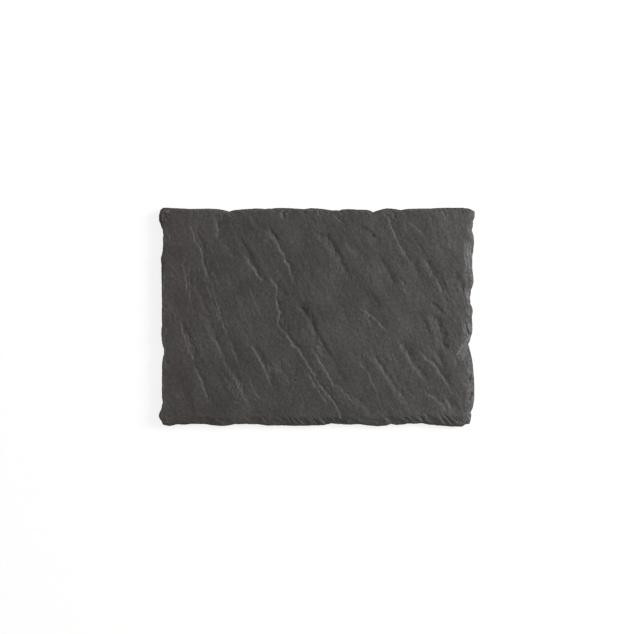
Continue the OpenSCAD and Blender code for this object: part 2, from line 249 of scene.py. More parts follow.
# The cleavage grooves: depth, width of the south-west flank and of the north-east flank in millimetres,
# and the photograph's pixels that the bottom of the groove runs through. A groove with one steep flank
# and one wide flank reads as a step in the slate.
GROOVE_PIXELS = [
    (0.9, 1.2, 9, [(267, 273), (273, 281), (277, 287), (277, 293), (277, 300), (279, 308), (280, 314),
        (278, 321), (278, 325), (282, 330), (288, 335), (294, 344), (300, 351), (304, 357), (308, 364),
        (314, 373), (322, 387), (328, 394), (334, 401), (338, 407), (340, 414), (341, 421), (343, 428)]),
    (0.8, 1.2, 13, [(189, 222), (193, 231), (195, 238), (200, 246), (202, 252), (203, 262), (205, 268),
        (207, 274), (209, 282)]),
    (0.35, 1.2, 4, [(195, 229), (198, 236), (202, 244), (204, 251)]),
    (0.4, 1.2, 3, [(207, 283), (209, 288), (211, 294), (213, 302), (215, 309)]),
    (0.4, 1.2, 3, [(213, 283), (214, 290), (216, 298), (218, 306), (221, 313)]),
    (0.3, 1.6, 4, [(220, 315), (223, 321), (226, 328), (230, 337)]),
    (0.7, 3, 12, [(194, 280), (200, 294), (206, 308), (212, 322)]),
    (1.3, 3.2, 12, [(214, 209), (216, 218), (218, 225), (220, 232), (221, 241)]),
    (0.5, 10, 4, [(231, 221), (235, 230), (239, 237)]),
    (1.0, 8, 2.8, [(236, 235), (242, 242), (247, 249), (252, 256), (256, 262)]),
    (0.9, 2.6, 5, [(246, 254), (251, 263), (255, 269), (259, 275), (266, 281)]),
    (0.9, 2.4, 6, [(262, 228), (269, 233), (275, 239), (278, 243), (280, 249), (285, 254), (287, 262),
        (290, 266), (292, 274), (296, 283)]),
    (0.9, 2.4, 1.6, [(270, 228), (273, 232), (276, 236), (278, 240)]),
    (0.4, 10, 3, [(293, 297), (302, 304), (310, 309)]),
    (1.5, 4.4, 5, [(298, 303), (304, 311), (310, 319), (314, 328), (317, 340)]),
    (1.0, 12, 5, [(316, 332), (321, 342), (326, 350), (332, 360)]),
    (1.3, 9, 4, [(311, 231), (320, 235), (328, 239), (334, 246), (337, 253), (342, 262), (347, 271),
        (352, 281)]),
    (0.7, 1.3, 6, [(386, 213), (389, 220), (392, 227), (395, 235), (399, 243), (403, 250), (407, 257),
        (411, 264)]),
    (1.0, 6, 8, [(411, 259), (415, 269), (420, 280)]),
    (0.7, 6, 4.5, [(375, 254), (381, 261), (386, 268), (391, 277), (396, 288)]),
    (0.35, 1.2, 4, [(397, 276), (406, 287)]),
    (1.25, 4.5, 5, [(422, 256), (427, 263), (432, 270), (436, 277), (440, 284), (446, 296)]),
    (1.8, 8, 6, [(432, 313), (437, 322), (441, 332), (443, 343), (445, 352)]),
    (0.6, 8, 1.9, [(418, 312), (424, 321), (429, 330), (433, 340)]),
    (0.9, 8, 6, [(437, 346), (438, 354), (441, 362), (444, 371), (448, 380)]),
    (0.9, 2.0, 4, [(418, 348), (426, 357), (432, 362), (438, 369), (443, 376), (448, 384), (452, 394)]),
    (1.3, 3.6, 8, [(397, 336), (403, 345), (408, 353), (412, 361), (417, 368), (422, 375), (427, 384)]),
    (0.9, 1.8, 14, [(423, 390), (431, 395), (437, 399), (443, 405), (448, 411)]),
    (0.8, 2.4, 9, [(445, 397), (450, 406), (454, 414)]),
    (0.6, 1.5, 10, [(360, 308), (369, 313), (375, 318), (381, 324), (389, 332)]),
    (0.3, 10, 4, [(357, 285), (366, 292), (374, 298), (385, 307)]),
    (0.5, 1.6, 9, [(356, 352), (361, 362), (365, 368), (370, 375), (374, 383), (377, 391), (380, 402)]),
    (1.2, 5, 12, [(370, 348), (377, 359), (382, 367), (387, 374), (392, 382), (397, 389), (403, 397),
        (409, 407)]),
    (0.4, 1.6, 8, [(333, 381), (340, 387), (346, 393), (357, 405)]),
    (0.6, 4, 4, [(353, 395), (361, 402), (367, 409), (372, 417)]),
    (0.7, 1.7, 11, [(312, 348), (318, 356), (322, 362), (324, 368), (329, 374), (332, 380), (335, 389)]),
    (0.6, 1.3, 12, [(307, 372), (313, 381), (318, 388), (323, 396), (330, 408)]),
    (0.85, 1.2, 7, [(247, 340), (252, 347), (257, 353), (261, 360), (264, 367), (267, 374), (270, 382),
        (275, 392)]),
    (0.8, 3.0, 5, [(211, 332), (217, 341), (221, 347), (224, 354), (226, 361), (230, 368), (235, 375),
        (239, 382), (243, 390), (247, 398), (252, 410)]),
    (0.7, 1.1, 7, [(181, 320), (183, 329), (186, 339), (189, 347), (193, 356), (197, 364)]),
    (0.4, 1.1, 5, [(186, 331), (189, 339), (192, 347), (195, 355)]),
    (0.25, 8, 3, [(181, 317), (186, 328), (191, 337), (195, 347), (200, 358), (206, 371)]),
    (0.8, 2.2, 6, [(192, 363), (199, 371), (201, 378), (204, 385), (206, 393), (211, 403)]),
    (0.5, 1.3, 3, [(188, 256), (185, 261), (183, 267)]),
    (0.45, 1.2, 6, [(184, 262), (186, 272), (187, 282), (188, 294)]),
    (0.45, 1.2, 9, [(188, 260), (190, 272), (190, 284), (191, 296), (193, 306)]),
    (0.4, 1.2, 5, [(250, 381), (254, 388), (257, 393), (261, 399)]),
    (0.3, 2, 6, [(256, 352), (262, 362), (268, 370), (272, 380)]),
    (0.35, 2, 6, [(250, 286), (255, 298), (259, 308), (264, 320)]),
    (0.35, 2, 4, [(229, 338), (235, 350), (240, 364)]),
    (0.3, 3, 6, [(249, 326), (255, 336), (260, 345)]),
    (0.35, 8, 3, [(337, 300), (343, 309), (349, 320)]),
    (1.0, 6, 2.4, [(431, 302), (436, 306.5), (442.5, 313)]),
    (0.55, 1.6, 9, [(410, 221), (417, 228), (423, 235)]),
    (0.8, 9, 8, [(428, 214), (434, 228), (439, 242), (445, 256), (450, 268)]),
    (0.8, 14, 4, [(455, 270), (461, 285), (466, 300), (470, 312)]),
    (0.5, 4, 8, [(343, 240), (352, 248), (360, 256), (367, 263)]),
    (0.4, 1.5, 1.5, [(441, 210), (443, 213), (446, 217)]),
    (0.7, 1.5, 1.5, [(161, 209), (163, 213), (166, 216)]),
    (0.9, 10, 3, [(357, 223), (366, 230), (374, 237), (381, 244)]),
    (0.5, 1.5, 3, [(286, 334), (290, 339), (294, 345), (298, 350), (302, 356)]),
    (0.35, 1.2, 2, [(440, 278), (444, 286), (447, 293), (450, 300)]),
    (0.25, 2.2, 6, [(332, 212), (338, 218), (344, 224)]),
    (0.9, 4, 10, [(250, 214), (256, 223), (264, 230)]),
    (0.6, 4, 3, [(275, 284), (282, 290), (289, 297)]),
    (1.0, 5.5, 12, [(202, 310), (210, 324), (218, 340)]),
    (0.5, 10, 5, [(332, 363), (339, 373), (347, 384)]),
    (0.5, 3, 3, [(415, 242), (424, 254)]),
    (0.2, 2.6, 6, [(225, 243), (235, 258)]),
    (0.35, 1.1, 3, [(213, 337), (218, 345), (221, 354), (223, 362)]),
    (0.3, 1.1, 2, [(309, 372), (313, 382), (317, 390)]),
]
FLANK_POWER = 1.4
FADE_SHARE = 0.16
FADE_PIECES = 1.5
GROOVE_SEED = 100
GROOVE_UNEVEN = 0.7
GROOVE_UNEVEN_LENGTH = 5 * MM
GROOVE_LEAST = 0.2

# The pale lip on a steep south-west flank, the flank that faces the light, partly wear and partly painted
# highlight: its middle and half its width as shares of the flank, and its strength
LIP_FLANK = 2.7 * MM
LIP_MIDDLE = 0.5
LIP_HALF = 0.6
LIP_POWER = 1.5
LIT_LIP_HIGHLIGHT = 0.25
TUFT_LIP_HIGHLIGHT = 0.28

# Kinds of relief: height and lengths both ways in millimetres, seed, layers, and the gain from layer to layer
Relief = namedtuple("Relief", "height along across seed layers gain")
BEND_EAST = Relief(1.7, 7, 7, 11, 3, 0.6)
BEND_NORTH = Relief(1.7, 7, 7, 23, 3, 0.6)
WAVES = Relief(0.5, 60, 22, 31, 3, 0.5)
STREAKS = Relief(0.08, 14, 5, 47, 2, 0.55)
CREASES = Relief(0.29, 7.5, 5.5, 53, 3, 0.6)
LUMPS = Relief(0.16, 9, 10, 59, 2, 0.6)
BEVEL_GRAIN = Relief(0.28, 4, 4, 71, 3, 0.65)
LAMINA_WANDER = Relief(0.9, 16, 16, 73, 2, 0.5)
UNDERSIDE = Relief(0.5, 60, 20, 131, 4, 0.55)
UNDERSIDE_MEAN = 0.25 * MM

# The face: its depth, how lumpy it is in the west and in the east, its rough patches, and its thin terraces
FACE_DEPTH = 0.4 * MM
LUMPY_SHARES = (0.75, 1.15)
ROUGH_LENGTH = 34 * MM
ROUGH_MEAN = 0.9
ROUGH_SPREAD = 1.1
ROUGH_LIMITS = (0.35, 1.6)
CREASE_BEND = 0.5
CREASE_BEND_SCALE = 0.7
TERRACE_HEIGHT = 0.14 * MM
FINE_TERRACE_HEIGHT = 0.084 * MM
TERRACE_SPACING = 9 * MM
TERRACE_STRETCH = 3
TERRACE_COUNT = 1.3
TERRACE_SHARPNESS = 8
EAST_FALL = 0.5 * MM
EAST_FALL_WIDTH = 26 * MM

# The direction of the cleavage: it runs from north-west to south-east
CLEAVAGE_ANGLE = math.radians(-64)

# Tufts of short fine cracks: the photograph's pixel in the middle, the reach in millimetres and the number
CRACK_TUFTS = [
    ((237, 388), 11, 18), ((231, 378), 9, 12), ((270, 366), 9, 20), ((240, 383), 7, 10), ((293, 375), 8, 9),
    ((216, 312), 7, 13), ((164, 213), 4, 12), ((164, 418), 4, 12), ((281, 212), 3, 8), ((317, 213), 3, 6),
    ((444, 213), 4, 5), ((176, 275), 12, 10), ((215, 268), 9, 9), ((197, 341), 8, 7), ((187, 345), 8, 7),
    ((269, 234), 6, 10), ((280, 330), 7, 6), ((318, 345), 8, 7), ((369, 315), 7, 6), ((403, 284), 4, 8),
    ((440, 404), 8, 9), ((459, 355), 5, 12), ((330, 392), 9, 8), ((388, 215), 6, 8), ((225, 212), 5, 10),
]
TUFT_SEED = 300

# Short cracks in the tufts and scattered over the whole face: how far they turn from the cleavage, and ranges
# of their depth and of both flanks in millimetres
ShortCrack = namedtuple("ShortCrack", "spread depths south_west north_east")
TUFT_CRACK = ShortCrack(math.radians(22), (0.12, 0.34), (0.8, 1.2), (0.8, 2.0))
SCATTERED_CRACK = ShortCrack(math.radians(48), (0.1, 0.36), (0.8, 1.2), (0.8, 1.8))
SCATTERED_CRACKS = 450
SCATTERED_SEED = 700
CRACK_SEED = 17
CRACK_BEND = math.radians(20)
CRACK_PIECES = 3
CRACK_RUNS = (1.2, 3.2)

# Small pale bruises: the photograph's pixel in the middle and the reach in millimetres
PALE_CHIPS = [
    ((164, 212), 1.1), ((169, 211), 0.8), ((218, 213), 0.8), ((224, 213), 0.9), ((233, 216), 0.8),
    ((283, 211), 0.9), ((287, 214), 0.8), ((312, 210), 0.9), ((318, 212), 0.8), ((341, 214), 0.8),
    ((388, 213), 0.8), ((443, 212), 1.2), ((448, 215), 0.9), ((457, 354), 1.1), ((163, 419), 0.8),
    ((168, 421), 0.8),
]
CHIP_PALENESS = 0.75

# Thin pale lips of the broken edge: both ends as pixels of the photograph, the reach in millimetres and the
# strength
PALE_LIPS = [
    ((457, 354), (469.5, 336), 0.8, 1), ((465.5, 350.5), (466.5, 345), 1.0, 0.35),
    ((462, 327.5), (468, 336.5), 0.7, 0.3), ((464.2, 288), (464.4, 303), 0.6, 0.2),
    ((464.4, 243), (464.6, 271), 0.6, 0.15), ((163.7, 275), (164, 291), 0.8, 0.35),
    ((164.4, 308), (164.2, 322), 0.7, 0.3), ((166.5, 328), (165.5, 334), 0.6, 0.3),
    ((164.6, 360), (167, 368), 0.6, 0.35), ((434.5, 420.5), (437.5, 421.5), 0.8, 0.3),
    ((163, 354.5), (163, 357.5), 0.7, 0.45), ((162, 251.5), (162, 254.5), 0.7, 0.4),
    ((467.8, 349.5), (468.2, 346.5), 0.7, 0.35),
]

# Paler and darker beds of the slate, partly painted light and shade that stand in for the shading of the
# relief: the photograph's pixel in the middle, the reach along the cleavage and across it in millimetres, and
# how much paler the stone is there
BED_TONES_AND_PAINTED_SHADING = [
    ((169, 224), 16, 14, -0.12), ((178, 411), 9, 14, -0.12), ((250, 229), 9, 9, -0.16),
    ((267, 240), 9, 8, -0.13), ((336, 250), 10, 7, -0.14), ((205, 300), 22, 6, -0.11),
    ((227, 312), 16, 5, 0.13), ((229, 356), 14, 6, 0.1), ((264, 355), 9, 5, 0.09), ((287, 318), 12, 6, 0.1),
    ((325, 404), 17, 9, -0.2), ((258, 405), 9, 12, -0.08), ((314, 250), 12, 10, -0.06),
    ((328, 292), 9, 5, -0.09), ((372, 262), 18, 10, 0.08), ((404, 246), 12, 6, 0.2),
    ((429, 243), 14, 5, 0.17), ((457, 224), 9, 9, 0.22), ((465, 262), 18, 7, 0.18),
    ((450, 296), 13, 6, 0.13), ((433, 362), 15, 6, 0.19), ((404, 372), 14, 9, -0.08),
    ((455, 386), 12, 7, -0.12), ((421, 338), 14, 4, 0.12), ((440, 389), 14, 4, 0.16),
    ((449, 276), 7, 5, 0.16), ((460, 283), 8, 4, 0.2), ((445, 284), 4, 3, 0.2), ((450, 326), 14, 5, 0.18),
    ((467, 393), 8, 6, -0.2), ((464, 354), 3, 5, -0.25), ((316, 386), 9, 5, -0.12),
    ((341, 386), 8, 5, -0.14), ((362, 258), 16, 5, 0.09), ((409, 285), 6, 5, -0.12),
    ((259, 263), 9, 6, -0.1), ((164, 217), 9, 8, -0.16), ((266, 372), 5, 4, -0.12),
]

# The slab's grid: cells along the board and across it, cells across the zone beside each edge, layers of the
# edge's wall, and how many cells of the upper side make one of the underside
COLUMNS = 420
ROWS = 208
EDGE_CELLS = 20
EDGE_ZONE = 13 * MM
WALL_LAYERS = 5
UNDERSIDE_STEP = 4

# The ledges of the wall under the outline, and the flat stone round the feet and along the underside's border
WALL_BREAK = 9 * MM
WALL_LAYER_STEP = 0.37
WALL_LEDGE = 0.7 * MM
WALL_LEDGE_MEAN = 0.45
WALL_LEDGE_SPREAD = 1.5
UNDERCUT_POWER = 1.3
FOOT_CLEAR = 9 * MM
FOOT_FADE = 12 * MM
UNDERSIDE_BORDER = 4


# Noise

def lattice_angle(column, row, seed):
    """A fixed pseudo-random angle for each corner of a square lattice."""
    mixed = column.astype(np.uint64) * np.uint64(374761393)
    mixed = mixed + row.astype(np.uint64) * np.uint64(668265263)
    mixed = mixed + np.uint64(seed * 2246822519)
    mixed = (mixed ^ (mixed >> np.uint64(13))) * np.uint64(1274126177)
    mixed = mixed ^ (mixed >> np.uint64(16))
    return (mixed & np.uint64(0xFFFF)).astype(float) / 0x10000 * 2 * math.pi


def gradient_noise(x, y, seed):
    """Smooth noise around 0, about 0.7 high and low, with features about one unit wide."""
    low_x = np.floor(x)
    low_y = np.floor(y)
    part_x = x - low_x
    part_y = y - low_y
    column = low_x.astype(np.int64)
    row = low_y.astype(np.int64)

    def corner(step_x, step_y):
        angle = lattice_angle(column + step_x, row + step_y, seed)
        return np.cos(angle) * (part_x - step_x) + np.sin(angle) * (part_y - step_y)

    fade_x = part_x ** 3 * (part_x * (part_x * 6 - 15) + 10)
    fade_y = part_y ** 3 * (part_y * (part_y * 6 - 15) + 10)
    south = corner(0, 0) + (corner(1, 0) - corner(0, 0)) * fade_x
    north = corner(0, 1) + (corner(1, 1) - corner(0, 1)) * fade_x
    return south + (north - south) * fade_y


def layered_noise(x, y, seed, layers, gain=0.5):
    """Several layers of noise, each twice as fine as the last."""
    total = np.zeros_like(x)
    for layer in range(layers):
        total += gain ** layer * gradient_noise(x * 2 ** layer, y * 2 ** layer, seed + layer)
    return total


def along_cleavage(x, y):
    """Places along the cleavage and across it, towards the north-east."""
    along = x * math.cos(CLEAVAGE_ANGLE) + y * math.sin(CLEAVAGE_ANGLE)
    across = -x * math.sin(CLEAVAGE_ANGLE) + y * math.cos(CLEAVAGE_ANGLE)
    return along, across


# The dressed edge

def outline_inset(places, edge):
    """Inset of the outline: round lobes that meet in sharp notches, ragged by small chips."""
    knots = np.array(OUTLINE_SHARES[edge], float)
    number = np.clip(np.searchsorted(knots[:, 0], places, side="right") - 1, 0, len(knots) - 2)
    start, inset = knots[number, :2].T
    end, next_inset = knots[number + 1, :2].T
    way = np.clip((places - start) / (end - start), 0, 1)
    gain = next_inset - inset
    deeper = inset + gain * way ** LOBE_POWER
    shallower = next_inset - gain * (1 - way) ** LOBE_POWER
    along = places * EDGE_LENGTHS[edge] / RAGGED_LENGTH
    ragged = layered_noise(along, np.full(places.shape, 0.5), RAGGED_SEEDS[edge], 3)
    return CHIP_DEPTH * np.where(gain > 0, deeper, shallower) + RAGGED_DEPTH * np.abs(ragged)


def flake_scars(edge):
    """The flake scars along one edge: middle, half length, height, width, ridge and slant of each."""
    length = EDGE_LENGTHS[edge]
    knots = np.array(OUTLINE_SHARES[edge])
    rng = np.random.default_rng(SCAR_SEEDS[edge])
    slants = np.random.default_rng(SCAR_SEEDS[edge] + SLANT_SEED)
    scars = []
    for scar_pass in SCAR_PASSES[edge]:
        place = -scar_pass.lengths[1] * MM
        while place < length + scar_pass.lengths[1] * MM:
            span = rng.uniform(*scar_pass.lengths) * MM
            middle = place + span / 2
            height = rng.uniform(*scar_pass.heights) * MM
            bevel = BEVEL_WIDTH * np.interp(middle / length, knots[:, 0], knots[:, 2])
            width = bevel * rng.uniform(*scar_pass.widths)
            factor = np.interp(middle / length, *np.transpose(RIDGE_FACTORS[edge]))
            ridge = rng.uniform(*scar_pass.ridges) * factor * MM
            slant = scar_pass.slant + slants.uniform(-SLANT_SPREAD, SLANT_SPREAD)
            scars.append((middle, span / 2, height, width, ridge, slant))
            place += span
    return scars


def scarred_height(along, inward, scars):
    """Height of a bevel over the underside: the lowest of its scars, which meet in ridges."""
    near = inward < SCAR_REACH
    near_along = along[near]
    near_inward = inward[near]
    lowest = np.full(near_along.shape, np.inf)
    for middle, half, bottom, width, ridge, slant in scars:
        aside = (near_along + slant * near_inward - middle) / half
        rise = (THICKNESS - bottom) * near_inward / width
        flank = np.where(aside < -SCAR_SKEW_SHARE, 1 - SCAR_SKEW_SHARE, 1 + SCAR_SKEW_SHARE)
        skewed = (aside + SCAR_SKEW_SHARE) / flank
        lowest = np.minimum(lowest, bottom + rise + ridge * skewed ** 2)
    height = np.full(along.shape, np.inf)
    height[near] = lowest
    return height


def large_scar_height(x, y):
    """Height over the underside of the single large scars, and how pale they are."""
    height = np.full(x.shape, np.inf)
    paleness = np.zeros(x.shape)
    for pixel, fall_angle, slope, half, ridge, drift, pale in LARGE_SCARS:
        start = photo_point(pixel)
        turn = math.radians(fall_angle)
        fall = (x - start[0]) * math.cos(turn) + (y - start[1]) * math.sin(turn)
        aside = (y - start[1]) * math.cos(turn) - (x - start[0]) * math.sin(turn) - drift * fall
        aside = aside / (half * MM)
        scar = THICKNESS - slope * fall + ridge * MM * aside ** 4
        paleness = np.where(scar < height, pale * np.clip(1 - aside ** 2, 0, 1), paleness)
        height = np.minimum(height, scar)
    return height, paleness


def edge_cracks():
    """The short cracks in the broken edge, one by one, as carved() reads them."""
    for row, (depth, south_west, north_east, count, step, pixels) in enumerate(EDGE_CRACKS):
        for number in range(count):
            seed = EDGE_CRACK_SEED + 10 * row + number
            rng = np.random.default_rng(seed)
            east = (number + rng.uniform(-EDGE_CRACK_SHIFT, EDGE_CRACK_SHIFT)) * step
            deep = depth * rng.uniform(*EDGE_CRACK_DEPTHS)
            points = [photo_point((pixel[0] + east, pixel[1])) for pixel in pixels]
            yield 0, deep, south_west, north_east, points, seed


def ledges(height, step, sharpness):
    """Heights drawn towards steps, as thin layers break off."""
    number = np.floor(height / step)
    part = height / step - number
    drawn = part ** sharpness / (part ** sharpness + (1 - part) ** sharpness)
    return (number + drawn) * step


def broken_bevel(x, y, inward):
    """Height of the broken edge over the underside, in ledges of thin layers, and how pale it is."""
    eastward = x - SLAB_LOW.x
    northward = y - SLAB_LOW.y
    bevel, paleness = large_scar_height(x, y)
    layer_lines = gradient_noise(y / LAMINA_LINE_LENGTH, x / LAMINA_LINE_WIDTH, LARGE_SCAR_SEED)
    for edge, from_outline in inward.items():
        along = eastward if edge in ("south", "north") else northward
        scarred = scarred_height(along, from_outline, flake_scars(edge))
        lines = gradient_noise(along / LAMINA_LINE_LENGTH, from_outline / LAMINA_LINE_WIDTH, SCAR_SEEDS[edge])
        closest = scarred < bevel
        bevel = np.where(closest, scarred, bevel)
        layer_lines = np.where(closest, lines, layer_lines)
        paleness = np.where(closest, 0, paleness)
    share = np.interp(eastward / BOARD_LENGTH, *np.transpose(LAMINA_SHARES))
    share = np.where(northward > BOARD_WIDTH / 2, np.maximum(share, NORTH_LAMINA_SHARE), share)
    bevel = bevel + relief_noise(BEVEL_GRAIN, x, y)
    bevel = bevel + LAMINA_LINE * share * layer_lines - carved(x, y, edge_cracks())[0]
    bed_height = relief_noise(LAMINA_WANDER, x, y)
    stepped = ledges(bevel + bed_height, LAMINA, LAMINA_SHARPNESS) - bed_height
    return share * stepped + (1 - share) * bevel, paleness


# The riven face

def photo_point(pixel):
    """The place on the board of a pixel of the photograph."""
    x = SLAB_LOW.x + (pixel[0] - PHOTO_WEST) * PIXEL
    y = SLAB_LOW.y + (PHOTO_SOUTH - pixel[1]) * PIXEL
    return np.array([x, y])


def piece_distance(x, y, start, end):
    """How far along a straight piece each place lies, its distance, and its side: above 0 on the left."""
    run = end - start
    from_x = x - start[0]
    from_y = y - start[1]
    way = np.clip((from_x * run[0] + from_y * run[1]) / (run @ run), 0, 1)
    distance = np.hypot(from_x - way * run[0], from_y - way * run[1])
    return way, distance, run[0] * from_y - run[1] * from_x


def groove_depth(x, y, depth, south_west, north_east, points, seed):
    """Depth of one groove, whose two flanks meet in a crease, and its pale lip on the lit south-west flank,
    partly wear and partly painted highlight.
    """
    reach = max(south_west, north_east)
    low = np.min(points, axis=0) - reach
    high = np.max(points, axis=0) + reach
    near = (x > low[0]) & (x < high[0]) & (y > low[1]) & (y < high[1])
    near_x = x[near]
    near_y = y[near]
    best = np.full(near_x.shape, np.inf)
    side = np.zeros(near_x.shape)
    along = np.zeros(near_x.shape)
    pieces = len(points) - 1
    for number in range(pieces):
        way, distance, piece_side = piece_distance(near_x, near_y, points[number], points[number + 1])
        closer = distance < best
        best = np.where(closer, distance, best)
        side = np.where(closer, piece_side, side)
        along = np.where(closer, (number + way) / pieces, along)
    flank = np.where(side > 0, north_east, south_west)
    fade_share = min(FADE_SHARE, FADE_PIECES / pieces)
    fade = np.clip(np.minimum(along, 1 - along) / fade_share, 0, 1)
    noise = gradient_noise(near_x / GROOVE_UNEVEN_LENGTH, near_y / GROOVE_UNEVEN_LENGTH, seed)
    uneven = np.clip(1 + GROOVE_UNEVEN * noise, GROOVE_LEAST, None)
    deep = np.zeros(x.shape)
    deep[near] = depth * fade * uneven * np.clip(1 - best / flank, 0, 1) ** FLANK_POWER
    worn_and_lit = np.zeros(x.shape)
    if south_west < LIP_FLANK:
        on_lip = np.clip(1 - np.abs(best / south_west - LIP_MIDDLE) / LIP_HALF, 0, 1)
        worn_and_lit[near] = np.where(side > 0, 0, on_lip) * fade * uneven ** LIP_POWER
    return deep, worn_and_lit


def carved(x, y, grooves):
    """Depth of all grooves together, and their pale lips, partly wear and partly painted highlight. Each
    groove has its share of the lip's paleness, its depth and both flanks in millimetres, its points and its
    seed."""
    total = np.zeros(x.shape)
    lit_flank_lips = np.zeros(x.shape)
    for wear_and_highlight, *sizes, points, seed in grooves:
        deep, worn_and_lit = groove_depth(x, y, *[size * MM for size in sizes], points, seed)
        total += deep
        lit_flank_lips = np.maximum(lit_flank_lips, wear_and_highlight * worn_and_lit)
    return total, lit_flank_lips


def short_crack(rng, kind, start):
    """Sizes and points of a short bent crack, more or less along the cleavage."""
    points = [start]
    turn = CLEAVAGE_ANGLE + rng.normal(0, kind.spread)
    for piece in range(CRACK_PIECES):
        turn += rng.normal(0, CRACK_BEND)
        run = rng.uniform(*CRACK_RUNS) * MM
        points.append(points[-1] + run * np.array([math.cos(turn), math.sin(turn)]))
    sizes = [rng.uniform(*limits) for limits in (kind.depths, kind.south_west, kind.north_east)]
    return *sizes, points


def face_grooves():
    """The grooves of the face and its short cracks, in tufts and scattered, as carved() reads them."""
    for number, (*sizes, pixels) in enumerate(GROOVE_PIXELS):
        yield LIT_LIP_HIGHLIGHT, *sizes, [photo_point(pixel) for pixel in pixels], GROOVE_SEED + number
    rng = np.random.default_rng(CRACK_SEED)
    for pixel, reach, count in CRACK_TUFTS:
        for number in range(count):
            start = photo_point(pixel) + rng.normal(0, reach / 2 * MM, 2)
            yield TUFT_LIP_HIGHLIGHT, *short_crack(rng, TUFT_CRACK, start), TUFT_SEED + number
    for number in range(SCATTERED_CRACKS):
        start = rng.uniform((SLAB_LOW.x, SLAB_LOW.y), (SLAB_HIGH.x, SLAB_HIGH.y))
        yield 0, *short_crack(rng, SCATTERED_CRACK, start), SCATTERED_SEED + number


def crumpled(x, y, seed, layers, gain):
    """Creased noise, like crumpled paper: smooth faces that meet in sharp creases."""
    bent_x = x + CREASE_BEND * gradient_noise(x * CREASE_BEND_SCALE, y * CREASE_BEND_SCALE, seed + 20)
    bent_y = y + CREASE_BEND * gradient_noise(x * CREASE_BEND_SCALE, y * CREASE_BEND_SCALE, seed + 21)
    total = np.zeros_like(x)
    for layer in range(layers):
        creases = np.abs(gradient_noise(bent_x * 2 ** layer, bent_y * 2 ** layer, seed + layer))
        total += (-gain) ** layer * creases
    return total


def relief_noise(kind, along, across, noise=layered_noise):
    """Height of one kind of relief."""
    places = along / (kind.along * MM), across / (kind.across * MM)
    return kind.height * MM * noise(*places, kind.seed, kind.layers, kind.gain)


def terraces(along, across, spacing, seed):
    """Broken edges of thin layers: flat treads with sharp wandering risers, about one unit high."""
    beds = TERRACE_COUNT * layered_noise(along / (TERRACE_STRETCH * spacing), across / spacing, seed, 4, 0.62)
    return ledges(beds, 1, TERRACE_SHARPNESS) - beds


def face_relief(x, y):
    """How far the riven face lies under the top of the slate, and the pale lips of its cracks, partly wear
    and partly painted highlight.
    """
    along, across = along_cleavage(x, y)
    bent_x = x + relief_noise(BEND_EAST, x, y)
    bent_y = y + relief_noise(BEND_NORTH, x, y)
    grooves, lit_flank_lips = carved(bent_x, bent_y, face_grooves())
    treads = TERRACE_HEIGHT * terraces(along, across, TERRACE_SPACING, 151)
    treads += FINE_TERRACE_HEIGHT * terraces(along, across, TERRACE_SPACING / 2, 161)
    streaks = relief_noise(STREAKS, along, across)
    creases = relief_noise(CREASES, along, across, crumpled)
    patches = layered_noise(x / ROUGH_LENGTH, y / ROUGH_LENGTH, 67, 2)
    rough = np.clip(ROUGH_MEAN + ROUGH_SPREAD * patches, *ROUGH_LIMITS) * (streaks + creases + treads)
    lumpy = relief_noise(WAVES, along, across) + relief_noise(LUMPS, x, y) + rough
    lumpy *= np.interp(x, (SLAB_LOW.x, SLAB_HIGH.x), LUMPY_SHARES)
    fall = EAST_FALL * np.clip(1 - (SLAB_HIGH.x - x) / EAST_FALL_WIDTH, 0, 1) ** 2
    return grooves + FACE_DEPTH + lumpy + fall, lit_flank_lips


def pale_chips(x, y):
    """How bruised the stone is, from 0 to 1."""
    bruised = np.zeros(x.shape)
    for pixel, reach in PALE_CHIPS:
        middle = photo_point(pixel)
        far = np.hypot(x - middle[0], y - middle[1]) / (reach * MM)
        bruised = np.maximum(bruised, CHIP_PALENESS * np.exp(-far ** 2))
    for first, last, reach, strength in PALE_LIPS:
        far = piece_distance(x, y, photo_point(first), photo_point(last))[1] / (reach * MM)
        bruised = np.maximum(bruised, strength * np.exp(-far ** 2))
    return bruised


def bed_tones_and_painted_shading(x, y):
    """How much paler or darker the stone is, around 1: partly its beds, partly painted light and shade."""
    along, across = along_cleavage(x, y)
    tone = np.ones(x.shape)
    for pixel, reach_along, reach_across, strength in BED_TONES_AND_PAINTED_SHADING:
        middle_along, middle_across = along_cleavage(*photo_point(pixel))
        far_along = (along - middle_along) / (reach_along * MM)
        far_across = (across - middle_across) / (reach_across * MM)
        tone += strength * np.exp(-far_along ** 2 - far_across ** 2)
    return tone


# The slab

def grid_lines(count, length, low_inset, high_inset):
    """Lines of the grid from edge to edge: even in the middle, finer near the outline and bent to it."""
    index = np.arange(count + 1)[:, None]
    even = EDGE_ZONE + (length - 2 * EDGE_ZONE) * (index - EDGE_CELLS) / (count - 2 * EDGE_CELLS)
    from_low = low_inset + (EDGE_ZONE - low_inset) * index / EDGE_CELLS
    from_high = length - high_inset - (EDGE_ZONE - high_inset) * (count - index) / EDGE_CELLS
    lines = np.where(index < EDGE_CELLS, from_low, even)
    return np.where(index > count - EDGE_CELLS, from_high, lines)


